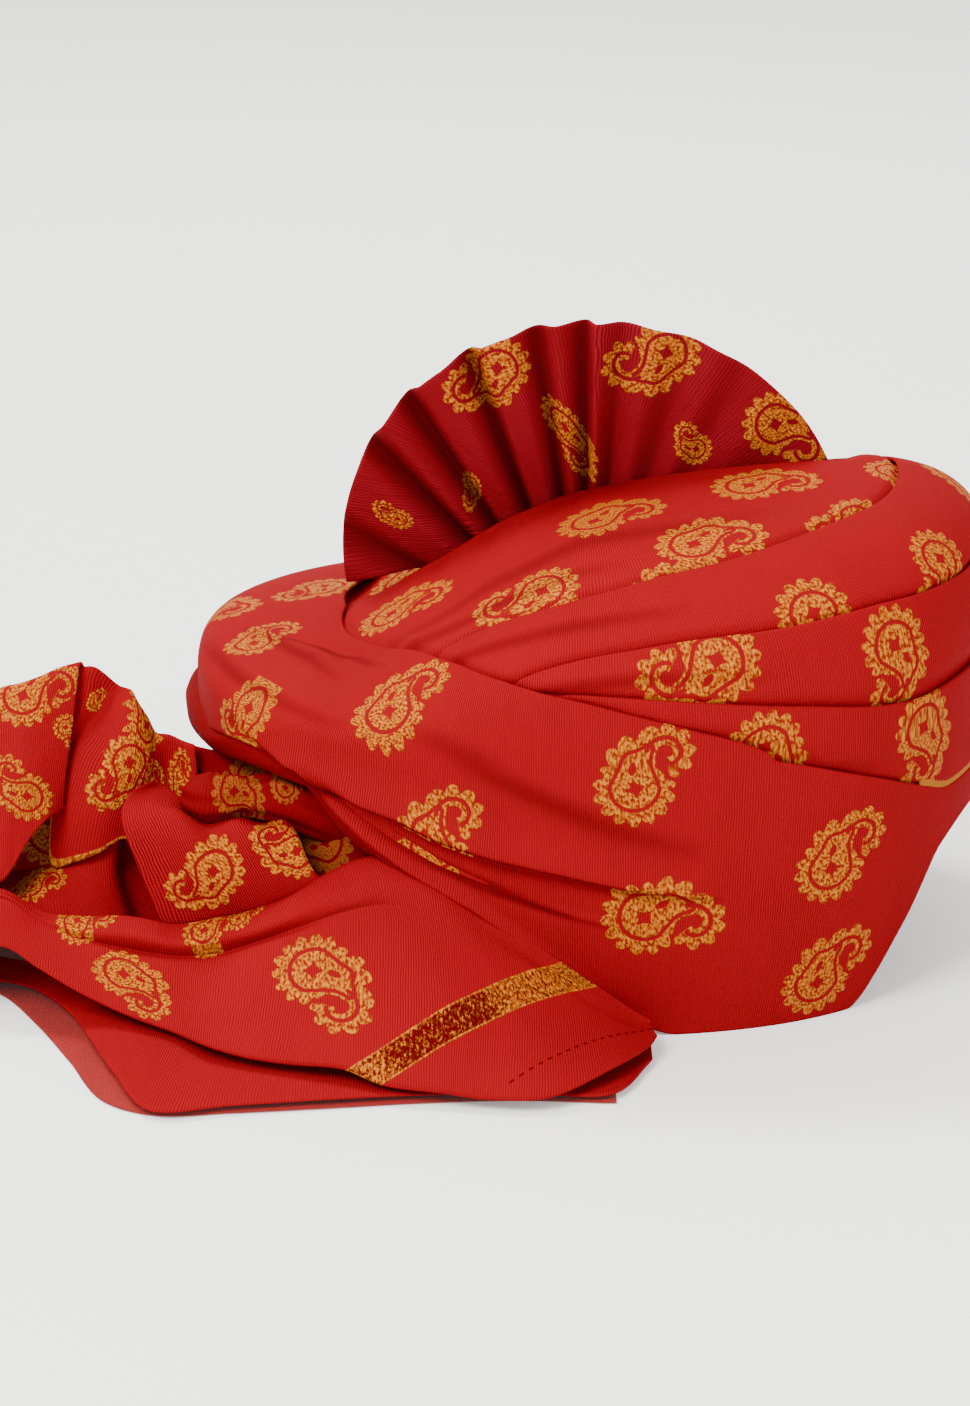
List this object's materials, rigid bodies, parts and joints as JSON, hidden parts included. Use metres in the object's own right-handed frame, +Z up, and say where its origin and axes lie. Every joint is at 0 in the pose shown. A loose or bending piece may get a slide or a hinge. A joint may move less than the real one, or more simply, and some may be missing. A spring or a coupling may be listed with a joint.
{
  "type": "tied turban pagri",
  "caption": "Tied cloth turban with an oval head hollow, wound turns, an upright pleated fan and a loose tail folded beside it.",
  "frame": {"origin": "under the middle of the whole part's box, on the surface that it lies on", "axes": "+Z up, +X towards the turban's front and away from the tail, -Y towards the side that the fan faces"},
  "size_m": [0.4441, 0.3085, 0.2479],
  "materials": {
    "red_cloth": "ribbed red cloth with woven gold paisleys",
    "inner_cloth": "shaded dark red cloth",
    "gold_weave": "gold thread border"
  },
  "bodies": {
    "root": {"crown": "red_cloth", "turn_1": "red_cloth", "turn_2": "red_cloth", "turn_3": "red_cloth", "outer_band": "red_cloth", "front_border": "gold_weave", "wound_core": "inner_cloth", "rim_roll": "inner_cloth", "turra_fan": "red_cloth", "tail_gather": "inner_cloth", "tail_loop": "red_cloth", "tail_back_fold": "red_cloth", "tail_mid_fold": "red_cloth", "tail_end_panel": "red_cloth", "tail_middle_layer": "red_cloth", "tail_lower_layer": "red_cloth"}
  },
  "joints": []
}
